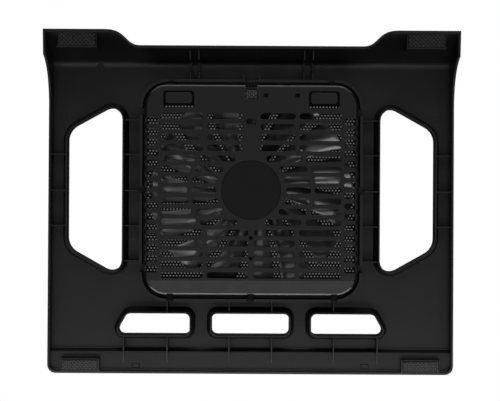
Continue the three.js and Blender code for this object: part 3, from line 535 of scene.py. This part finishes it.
def cad(node, material, bevel_mm=0.0, segments=2):
    """A CAD node shown as it is, with its edges softened."""
    obj = frame["nodes"][node]
    obj.data.materials.clear()
    obj.data.materials.append(MATERIALS[material])
    weld = obj.modifiers.new("weld", "WELD")
    weld.merge_threshold = 1e-5
    flat = obj.modifiers.new("flat", "DECIMATE")
    flat.decimate_type = "DISSOLVE"
    flat.angle_limit = math.radians(0.4)
    if bevel_mm:
        bevel = obj.modifiers.new("bevel", "BEVEL")
        bevel.width = bevel_mm * MM
        bevel.segments = segments
        bevel.limit_method = "ANGLE"
        bevel.angle_limit = math.radians(28)
        bevel.harden_normals = False
    for polygon in obj.data.polygons:
        polygon.use_smooth = True
    weighted = obj.modifiers.new("weighted", "WEIGHTED_NORMAL")
    weighted.keep_sharp = True


# ---- Mesh panel: a sheet with a staggered field of holes ----
def hole_centres():
    """Centres of the holes by (column, row), within a rounded rectangle."""
    step_x, step_y = HOLES["pitch"], HOLES["pitch"] * math.sqrt(3) / 2
    origin_x, origin_y = HOLES["origin"]
    radius = HOLES["radius"]
    centres = {}
    for row in range(-HOLE_SEARCH, HOLE_SEARCH + 1):
        for column in range(-HOLE_SEARCH, HOLE_SEARCH + 1):
            x = origin_x + (column + row / 2) * step_x
            y = origin_y + row * step_y
            beyond_x = abs(x) - (HOLES["half"] - radius)
            beyond_y = max(HOLES["front"] + radius - y, y - HOLES["rear"] + radius)
            inside = max(beyond_x, beyond_y) < radius
            if inside and math.hypot(max(beyond_x, 0), max(beyond_y, 0)) < radius:
                centres[(column, row)] = (x, y)
    return centres


def web_faces(first):
    """The sheet's faces between neighbouring six-sided holes; first gives each hole's first corner."""
    web = []
    for (column, row), start in first.items():
        right = first.get((column + 1, row))
        upper = first.get((column, row + 1))
        upper_left = first.get((column - 1, row + 1))
        if right is not None:
            web.append((start + 5, right + 3, right + 2, start))
        if upper is not None:
            web.append((start + 1, start, upper + 4, upper + 3))
        if upper_left is not None:
            web.append((start + 2, start + 1, upper_left + 5, upper_left + 4))
        if right is not None and upper is not None:
            web.append((start, right + 2, upper + 4))
        if upper is not None and upper_left is not None:
            web.append((start + 1, upper + 3, upper_left + 5))
    return web


def edge_loop(faces):
    """The corners round the outside of a patch of faces, in order."""
    uses = {}
    for face in faces:
        for a, b in zip(face, [*face[1:], face[0]]):
            uses.setdefault(frozenset((a, b)), []).append((a, b))
    rim = [pairs[0] for pairs in uses.values() if len(pairs) == 1]
    following = dict(rim)
    loop = [rim[0][0]]
    while following[loop[-1]] != loop[0]:
        loop.append(following[loop[-1]])
    return loop


def is_inside(point, polygon):
    ahead = np.roll(polygon, -1, axis=0)
    crosses = (polygon[:, 1] > point[1]) != (ahead[:, 1] > point[1])
    with np.errstate(divide="ignore", invalid="ignore"):
        share = (point[1] - polygon[:, 1]) / (ahead[:, 1] - polygon[:, 1])
        at = polygon[:, 0] + share * (ahead[:, 0] - polygon[:, 0])
    return np.count_nonzero(crosses & (at > point[0])) % 2 == 1


def border_faces(flat, outer, loop):
    """Triangles between the panel's outline and the edge of the field of holes."""
    numbers = [*outer, *loop]
    closed = [(k, (k + 1) % len(outer)) for k in range(len(outer))]
    closed += [(len(outer) + k, len(outer) + (k + 1) % len(loop)) for k in range(len(loop))]
    found = delaunay_2d_cdt([Vector(flat[n]) for n in numbers], closed, [], 1, 1e-6)
    triangles, origins = found[2], found[3]
    field = np.array([flat[n] for n in loop])
    border = []
    for triangle in triangles:
        corners = [numbers[origins[k][0]] for k in triangle]
        if not is_inside(np.mean([flat[n] for n in corners], axis=0), field):
            a, b, c = (Vector(flat[n]) for n in corners)
            turn = (b - a).cross(c - a)
            border.append(tuple(corners) if turn > 0 else tuple(reversed(corners)))
    return border


def mesh_panel():
    centres = hole_centres()
    radius = HOLES["across"] / 2 / math.cos(math.pi / 6)
    corner_angles = [math.radians(30 + 60 * k) for k in range(6)]
    corners = [(radius * math.cos(a), radius * math.sin(a)) for a in corner_angles]
    first = {cell: 6 * i for i, cell in enumerate(centres)}
    flat = [(x + dx, y + dy) for x, y in centres.values() for dx, dy in corners]
    holes = [[start + k for k in range(6)] for start in first.values()]
    sheet = web_faces(first)
    loop = edge_loop([*sheet, *holes])

    outside, _ = rounded_rectangle(
        -PANEL["half"], PANEL["half"], PANEL["front"], PANEL["rear"], PANEL["radius"], 12)
    outer = list(range(len(flat), len(flat) + len(outside)))
    flat += outside
    sheet += border_faces(flat, outer, loop)

    count = len(flat)
    vertices = [(x, y, z) for z in (PANEL["high"], PANEL["low"]) for x, y in flat]
    faces = sheet + [tuple(n + count for n in reversed(face)) for face in sheet]
    for ring in holes:
        faces += [(a, b, b + count, a + count) for a, b in zip(ring, [*ring[1:], ring[0]])]
    faces += [(b, a, a + count, b + count) for a, b in zip(outer, [*outer[1:], outer[0]])]
    panel = from_faces("perforated_panel", vertices, faces)
    fit(panel, "shell", "panel", ["mesh_panel"])


# ---- Fan cover ----
FACE = COVER["face"]
FRONT_SLOPE = (CHAMFER["front"] - FACE) / (CHAMFER["runs_to"] - COVER["front"])
THROUGH = FACE + 3  # a height clear above the tray's floor


def cover_outline(inset=0):
    half, radius = COVER["half"] - inset, COVER["radius"] - inset
    return rounded_rectangle(
        -half, half, COVER["front"] + inset, COVER["rear"] - inset, radius, CORNER_STEPS)


def cover_rings(inset, face, top, steps=6):
    """Rings of the tray's outside, or of its inside at an inset, with the edge round the face rounded."""
    points, normals = cover_outline(inset)
    rings = []
    for k in range(steps, -1, -1):
        turn = math.pi / 2 * k / steps
        ring = []
        for (x, y), (nx, ny) in zip(points, normals):
            radius = max(ROUNDING["least"], ROUNDING["side"] * nx * nx + ROUNDING["rear"] * ny * ny - inset)
            back = radius * (1 - math.cos(turn))
            ring.append((x - nx * back, y - ny * back, face + radius * (1 - math.sin(turn))))
        rings.append(ring)
    rings.append([(x, y, top) for x, y in points])
    return rings


def front_height(y):
    """Height of the cover's sloping front, carried on as a plane over the whole cover."""
    return CHAMFER["front"] - FRONT_SLOPE * (y - COVER["front"])


def front_body(steps=5):
    """A body over the sloping front's plane with a rounded edge; the tray is what lies within it."""
    points, normals = cover_outline()
    rings = []
    for k in range(steps, -1, -1):
        turn = math.pi / 2 * k / steps
        back, rise = ROUNDING["front"] * (1 - math.cos(turn)), ROUNDING["front"] * (1 - math.sin(turn))
        moved = [(x - nx * back, y - ny * back) for (x, y), (nx, ny) in zip(points, normals)]
        rings.append([(x, y, front_height(y) + rise) for x, y in moved])
    rings.append([(x, y, 0) for x, y in points])
    return loft("front_body", rings)


def front_wedge(inset):
    """What the sloping front takes off the hollow's bottom front edge."""
    lift = inset * math.sqrt(1 + FRONT_SLOPE ** 2)
    y0, y1 = COVER["front"] - 20, CHAMFER["runs_to"] + 20
    deep, beside = -60, 130
    profile = [(y0, deep), (y1, deep), (y1, front_height(y1) + lift), (y0, front_height(y0) + lift)]
    return loft("wedge", [[(x, y, z) for y, z in profile] for x in (-beside, beside)])


def cover_tray():
    tray = combine(loft("cover_body", cover_rings(0, FACE, COVER["top"])), front_body(), "INTERSECT")
    hollow = loft("hollow", cover_rings(COVER["wall"], FACE + COVER["wall"], 0))
    return cut(tray, cut(hollow, front_wedge(COVER["wall"])))


def slot_spans(y):
    """Ends of the two slots in a row of the grille, on its right half."""
    across = y - FAN_Y
    strut = STRUT["rear_half"] if across > 0 else STRUT["front_half"]
    inside_hub = math.sqrt(max(0, SLOT_BARS["hub"] ** 2 - across ** 2))
    on_ring = abs(across) < SLOT_BARS["ring_reach"]
    bar = math.sqrt(SLOT_BARS["ring"] ** 2 - across ** 2) if on_ring else SLOT_BARS["straight_at"]
    half = SLOT_BARS["half"]
    return [(max(inside_hub, strut), bar - half), (bar + half, SLOTS["outer_end"])]


def slot_cutter():
    """All slots: the grille's rows, and the short ones that run out through the tray's sides."""
    levels = flared_hole_levels(FACE, FACE + COVER["wall"] + 1, SLOTS["lip"])
    edge_levels = flared_hole_levels(FACE, FACE + EDGE_SLOTS["up"], HOLE_LIP)
    made = []

    def add_pair(low, high, y, heights):
        for x_low, x_high in ((low, high), (-high, -low)):
            made.append(shaped("slot", stadium(x_low, x_high, y, SLOTS["height"]), heights))

    for n in range(SLOTS["rows"]):
        y = SLOTS["first"] - n * SLOTS["pitch"]
        for low, high in slot_spans(y):
            add_pair(low, high, y, levels)
    for n in range(EDGE_SLOTS["rows"]):
        y = EDGE_SLOTS["first"] - n * EDGE_SLOTS["pitch"]
        add_pair(EDGE_SLOTS["inner_end"], EDGE_SLOTS["outer_end"], y, edge_levels)
    return joined("slots", made)


def hole_cutter():
    """The slide latches' windows, the latch's vent, and the small square and round holes."""
    window_levels = flared_hole_levels(FACE, THROUGH, HOLE_LIP)
    small_levels = flared_hole_levels(FACE, THROUGH, SMALL_LIP)
    square_levels = flared_hole_levels(FACE, THROUGH, SQUARE_HOLES["lip"])
    made = []
    for low, high in ((WINDOW["low"], WINDOW["high"]), (-WINDOW["high"], -WINDOW["low"])):
        window = rounded_rectangle(low, high, WINDOW["front"], WINDOW["rear"], WINDOW["radius"], 6)
        made.append(shaped("window", window, window_levels))
    vent = rounded_rectangle(-VENT["half"], VENT["half"], VENT["front"], VENT["rear"], 0.5, 3)
    made.append(shaped("vent", vent, small_levels))
    half = SQUARE_HOLES["half_width"]
    front = SQUARE_HOLES["y"] - SQUARE_HOLES["half_height"]
    rear = SQUARE_HOLES["y"] + SQUARE_HOLES["half_height"]
    for x in SQUARE_HOLES["x"]:
        square = rounded_rectangle(x - half, x + half, front, rear, 0.4, 3)
        made.append(shaped("square", square, square_levels))
    for y in ROUND_HOLES["y"]:
        made.append(shaped("round", circle(0, y, ROUND_HOLES["radius"], 32), small_levels))
    return joined("holes", made)


def motor_seat(tray):
    """The raised round floor under the motor, with the tube for its bearing."""
    levels = [(FACE + 1, 0), (SEAT["top"] - 0.4, 0), (SEAT["top"] - 0.1, -0.1), (SEAT["top"], -0.4)]
    join(tray, shaped("seat", circle(0, FAN_Y, SEAT["radius"]), levels))
    join(tray, prism("tube", circle(0, FAN_Y, SEAT["tube"], 48), SEAT["top"] - 1, SEAT["tube_top"]))


def cut_rooms(tray):
    """Room in the tray's rear wall for the latch, the bolts and the socket."""
    half = LATCH_ROOM["half"]
    latch_room = rounded_rectangle(-half, half, LATCH_ROOM["front"], LATCH_ROOM["rear"], 0.6, 3)
    cut(tray, prism("latch_room", latch_room, FACE - 2, ROOMS_TOP))
    half = BOLT_NOTCH["half"]
    for x in (-BOLT["x"], BOLT["x"]):
        notch = rounded_rectangle(x - half, x + half, BOLT_NOTCH["front"], BOLT_NOTCH["rear"], 0.3, 2)
        cut(tray, prism("notch", notch, THROUGH, ROOMS_TOP))
    low, high, front, rear = (SOCKET_ROOM[key] for key in ("low", "high", "front", "rear"))
    socket_room = rounded_rectangle(low, high, front, rear, 0.5, 2)
    cut(tray, prism("socket_room", socket_room, SOCKET_ROOM["floor"], ROOMS_TOP))


def cut_seat(tray):
    """The disc's recess, the bearing's bore and the lead's channel."""
    recess = [(FACE - 1, 0.25), (FACE, 0.25), (FACE + 0.25, 0), (FACE + 1.1, 0)]
    cut(tray, shaped("recess", circle(0, FAN_Y, SEAT["recess"]), recess))
    cut(tray, prism("bore", circle(0, FAN_Y, SEAT["bore"], 32), SEAT["bore_floor"], 0))
    channel = rounded_rectangle(
        -LEAD_CHANNEL["half"], LEAD_CHANNEL["half"],
        FAN_Y + LEAD_CHANNEL["front"], FAN_Y + LEAD_CHANNEL["rear"], 0.3, 2)
    cut(tray, prism("channel", channel, FACE + COVER["wall"], LEAD_CHANNEL["top"]))


def painted_edge_highlight(point):
    """1 on the rounded front and rear edges of the cover's face, where a light grey is painted on as a
    highlight.
    """
    radius = COVER["radius"]
    beyond_x = max(0, abs(point.x) - COVER["half"] + radius)
    beyond_y = max(COVER["front"] + radius - point.y, point.y - COVER["rear"] + radius)
    inside = radius - math.hypot(beyond_x, beyond_y)
    faces_down = point.z < max(FACE, front_height(point.y)) + PAINTED_EDGE_HIGHLIGHT["up"]
    along_side = beyond_y <= 0.6 * radius
    if along_side or not faces_down:
        return 0
    if point.y < COVER["front"] + radius:
        band = (PAINTED_EDGE_HIGHLIGHT["front_reach"] - inside) / PAINTED_EDGE_HIGHLIGHT["front_fade"]
    else:
        band = PAINTED_EDGE_HIGHLIGHT["rear_share"] * (PAINTED_EDGE_HIGHLIGHT["rear_reach"] - inside)
    return min(1, max(0, band))


def tongue(x):
    """A hinge tongue with a round nose on the swing axis and softened sides."""
    half, y, z = TONGUES["half_thickness"], TONGUES["y"], TONGUES["z"]
    root = COVER["front"] + 1.2
    angles = np.linspace(-math.pi / 2, math.pi / 2, 9)
    nose = [(y - half * math.cos(a), z + half * math.sin(a)) for a in angles]
    profile = [(root, z - half), (root, z + half), *reversed(nose)]

    def ring(at, share):
        return [(at, y + (py - y) * share if py < y else py, z + (pz - z) * share) for py, pz in profile]

    side, softening, narrowed = TONGUES["half_width"], TONGUES["softening"], TONGUES["narrowed"]
    places = [(-side, narrowed), (-side + softening, 1), (side - softening, 1), (side, narrowed)]
    return loft("tongue", [ring(x + across, share) for across, share in places])


def cover_inside():
    """The hinge tongues and dark caps behind the small holes, in a darker plastic that is painted shade."""
    half_width, half_height = PAINTED_SHADE_CAP["half_width"], PAINTED_SHADE_CAP["half_height"]
    outlines = [
        rounded_rectangle(
            x - half_width, x + half_width, SQUARE_HOLES["y"] - half_height, SQUARE_HOLES["y"] + half_height,
            0.5, 2)
        for x in SQUARE_HOLES["x"]
    ]
    outlines += [circle(0, y, PAINTED_SHADE_CAP["radius"], 32) for y in ROUND_HOLES["y"]]
    pieces = [prism("painted_shade_cap", outline, PAINTED_SHADE_CAP["low"], PAINTED_SHADE_CAP["high"]) for outline in outlines]
    pieces += [tongue(x) for x in TONGUES["x"]]
    inside = joined("cover_inside", pieces)
    recalculate(inside)
    fit(smooth(inside), "cover", "inner")


def fan_cover():
    tray = cover_tray()
    motor_seat(tray)
    cut(tray, slot_cutter(), hole_cutter())
    cut_rooms(tray)
    cut_seat(tray)
    smooth(tray)
    # Painted highlight: a light grey on the cover's rounded front and rear edges.
    set_wear_and_light(tray, [painted_edge_highlight(v.co / MM) for v in tray.data.vertices])
    fit(tray, "cover", "cover", ["fan_cover"])
    cover_inside()


# ---- Impeller and hub disc ----
def blade_section(index, share):
    """A closed section round a blade, at a share of the way from its root to its tip."""
    columns = 14
    pitch = 360 / BLADES["count"]
    chord = pitch - BLADE_GAP["degrees"]
    radius = BLADES["root"] + (BLADES["tip"] - BLADES["root"]) * share
    low = BLADES["low_root"] + (BLADES["low_tip"] - BLADES["low_root"]) * share
    swept = BLADE_GAP["phase"] + BLADE_GAP["sweep"] * (radius - BLADE_GAP["sweep_from"])
    start = index * pitch + swept + BLADE_GAP["degrees"] / 2
    least = 0.35  # share of the full thickness at the very edges
    at_tip = min(1.0, (1 - share) / 0.03 + least)
    upper, lower = [], []
    for c in range(columns + 1):
        along = (1 - math.cos(math.pi * c / columns)) / 2
        angle = math.radians(start + chord * along)
        arch = BLADES["camber"] * math.sin(math.pi * along)
        height = -BLADES["high"] + (BLADES["high"] - low) * along + arch
        at_edge = min(1, least + 1.9 * math.sqrt(max(0, along * (1 - along))))
        thick = BLADES["half_thickness"] * at_tip * at_edge
        x, y = radius * math.cos(angle), FAN_Y + radius * math.sin(angle)
        upper.append((x, y, height + thick))
        lower.append((x, y, height - thick))
    return [*lower, *reversed(upper)]


def impeller():
    rows = 20
    vertices, faces = [], []
    for index in range(BLADES["count"]):
        v, f = loft_data([blade_section(index, r / rows) for r in range(rows + 1)])
        faces += [tuple(n + len(vertices) for n in face) for face in f]
        vertices += v
    blades = from_faces("impeller_blades", vertices, faces)
    cup = [(0, -6.8), (28.2, -6.8), (28.2, -18.7), (28.5, -19), (29.7, -19), (30, -18.7), (30, -7.2)]
    turns = np.linspace(0.2, math.pi / 2, 7)
    shoulder = [(27.8 + 2.2 * math.cos(a), -7.2 + 2.2 * math.sin(a)) for a in turns]
    roof = [(22, -5), (21.6, -5.25), (0, -5.25)]
    hub = turned("impeller_hub", cup + shoulder + roof, 0, FAN_Y, 120)
    whole = joined("impeller_body", [blades, hub])
    recalculate(whole)
    smooth(whole, 40)
    fit(whole, "fan", "fan", ["impeller"])


def hub_disc():
    radius, top = HUB_DISC["radius"], FACE + HUB_DISC["thickness"]
    profile = [
        (0, top), (radius - 0.2, top), (radius, top - 0.2), (radius, FACE + 0.2),
        (radius - 0.1, FACE + 0.05), (radius - 0.3, FACE), (0, FACE),
    ]
    disc = turned("hub_cap", profile, 0, FAN_Y, 128)
    recalculate(disc)
    smooth(disc, 30)
    fit(disc, "cover", "disc", ["hub_disc"])


# ---- Knurled and rounded small pieces ----
def knurl_at(x, y, to_side, edge):
    """How far the knurled face is sunk at a point, and a mask that is 1 on the studs between the grooves:
    studs lighter from wear, grooves darker as painted shade.
    """
    pitch, depth = KNURL["pitch"], KNURL["depth"]
    grooves = [abs((((x + s * y) / pitch) % 1) - 0.5) * 2 for s in (1, -1)]
    sunk = depth * min(1, max(0, 1.6 * max(grooves) - 0.6))
    round_off = edge - math.sqrt(max(0, edge ** 2 - max(0, edge - to_side) ** 2)) if to_side < edge else 0
    within = min(1, max(0, (to_side - 0.5) / 0.4))
    return max(sunk * within, round_off), within * (1 - sunk / depth)


def knurled_block(name, outline_box, low, high, edge):
    """A rounded block whose bottom face carries crossed diagonal grooves, and a mask for its finish: studs
    lighter from wear, grooves darker as painted shade.
    """
    x_low, x_high, y_low, y_high = outline_box
    step = KNURL["pitch"] / 6
    columns = max(4, round((x_high - x_low) / step))
    rows = max(4, round((y_high - y_low) / step))
    vertices, faces, wear_and_light = [], [], []
    for r in range(rows + 1):
        for c in range(columns + 1):
            x = x_low + (x_high - x_low) * c / columns
            y = y_low + (y_high - y_low) * r / rows
            sink, wear_and_light_level = knurl_at(x, y, min(x - x_low, x_high - x, y - y_low, y_high - y), edge)
            vertices.append((x, y, low + sink))
            wear_and_light.append(wear_and_light_level)
    across = columns + 1
    for r in range(rows):
        for c in range(columns):
            a = r * across + c
            faces.append((a, a + 1, a + across + 1, a + across))
    border = [*range(across), *[r * across + columns for r in range(1, rows + 1)]]
    border += [rows * across + c for c in range(columns - 1, -1, -1)]
    border += [r * across for r in range(rows - 1, 0, -1)]
    start = len(vertices)
    vertices += [(vertices[n][0], vertices[n][1], high) for n in border]
    count = len(border)
    faces += [(border[k], border[(k + 1) % count], start + (k + 1) % count, start + k) for k in range(count)]
    faces.append(tuple(range(start, start + count)))
    obj = from_faces(name, vertices, faces)
    recalculate(obj)
    set_wear_and_light(obj, wear_and_light + [0.0] * count)
    return smooth(obj, 20)


def feet():
    for end, finish in (("front", "rubber"), ("rear", "rear_rubber")):
        for side in ("left", "right"):
            name = f"foot_{end}_{side}"
            low, high = (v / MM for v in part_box(name))
            block = knurled_block(name + "_rubber", (low.x, high.x, low.y, high.y), low.z, high.z, 0.4)
            fit(block, "shell", finish, [name], place=Matrix.Identity(4))


def cover_latch():
    """The thumb tongue: a knurled pad, and a smooth step down at its rear end."""
    half, front, rear = LATCH["half"], LATCH["front"], LATCH["rear"]
    pad = knurled_block("latch_pad", (-half, half, front, rear), LATCH["face"], LATCH["top"], 0.3)
    slope = [(277, -20.3), (277, -22.4), (279.2, -22.4), (282.4, -19.5), (282.4, -19.3), (280, -19.3)]
    step = loft("latch_step", [[(x, y, z) for y, z in slope] for x in (-half + 0.1, half - 0.1)])
    web_outline = rounded_rectangle(-half + 0.3, half - 0.3, front + 0.3, rear - 0.3, 0.4, 3)
    web = shaped("latch_web", web_outline, softened(-22, -20.2, 0.2))
    whole = joined("latch_tongue", [pad, step, web])
    recalculate(whole)
    smooth(whole, 20)
    fit(whole, "latch", "thumb", ["cover_latch"])


def slide_latch(side, name):
    """A slide's button, and behind it the runner with its bolt, in a darker plastic as painted shade."""
    def outline(low, high, front, rear, radius, steps):
        x_low, x_high = (low, high) if side > 0 else (-high, -low)
        return rounded_rectangle(x_low, x_high, front, rear, radius, steps)

    body = "slide_" + name
    button_outline = outline(BUTTON["low"], BUTTON["high"], BUTTON["front"], BUTTON["rear"], 2.6, 6)
    button_levels = softened(BUTTON["face"], BUTTON["top"], 0.6, 4, both=False)
    button = shaped("button_" + body, button_outline, button_levels)
    flange_outline = outline(RUNNER["low"], RUNNER["high"], RUNNER["front"], RUNNER["rear"], 1, 3)
    flange = shaped("flange", flange_outline, softened(RUNNER["face"], RUNNER["top"], 0.2))
    bolt_low, bolt_high = BOLT["x"] - BOLT["half"], BOLT["x"] + BOLT["half"]
    bolt_outline = outline(bolt_low, bolt_high, BOLT["front"], BOLT["rear"], 0.5, 3)
    bolt = shaped("bolt", bolt_outline, softened(BOLT["low"], BOLT["high"], 0.4))
    post_outline = outline(bolt_low, bolt_high, BOLT["front"], BOLT["post_rear"], 0.5, 3)
    post = prism("post", post_outline, BUTTON["top"], BOLT["post_top"])
    runner = joined("runner_" + body, [flange, bolt, post])
    for piece in (button, runner):
        recalculate(piece)
        smooth(piece, 40)
    fit(button, body, "cover", ["slide_latch_" + name])
    # The runner's darker plastic is painted shade.
    fit(runner, body, "inner")


def moulding_marks():
    """Marks left by the mould on the plate's underside: a boss, four rings and a dot."""
    under = -2.4
    marks = [turned("boss", [(0, -4), (2.9, -4), (3.3, -3.6), (3.3, -2), (0, -2)], 150, 302.3, 40)]
    ridge_section = ((-0.5, 0), (-0.35, 0.35), (0.35, 0.35), (0.5, 0))
    for x, y, radius in ((117, 141, 3.2), (-117, 141, 3.2), (187, 252, 3), (-187, 252, 3)):
        ridge = [(radius + out, under - rise) for out, rise in ridge_section]
        marks.append(turned("ring", [(0, under), *ridge, (0, under)], x, y, 40))
    marks.append(turned("dot", [(0, -3), (0.6, -2.9), (0.8, under), (0, under)], 192.5, 138.5, 16))
    whole = joined("moulding_marks", marks)
    recalculate(whole)
    fit(smooth(whole), "shell", "shell")


# ---- Assembly ----
make_camera()
make_world()
make_floor()
bpy.context.scene.view_settings.view_transform = "Standard"
make_lights()
make_card()

mesh_panel()
fan_cover()
impeller()
hub_disc()
feet()
cover_latch()
slide_latch(-1, "left")
slide_latch(1, "right")
cad("top_shell", "shell", 0.45, 3)
moulding_marks()
cad("laptop_stop_left", "rubber", 0.6, 3)
cad("laptop_stop_right", "rubber", 0.6, 3)
for node in ("rotor_yoke", "shaft", "stator_core"):
    cad(node, "steel", 0.12)
cad("magnet_ring", "magnet", 0.12)
cad("bearing_sleeve", "bronze", 0.1)
for node in ("retaining_clip", "thrust_washer"):
    cad(node, "nylon", 0.08)
for n in (1, 2, 3, 4):
    cad(f"coil_{n}", "copper", 0.3, 3)
for node in ("motor_board", "socket_board"):
    cad(node, "board", 0.1)
cad("power_socket", "steel", 0.15)
cad("fan_lead", "wire")
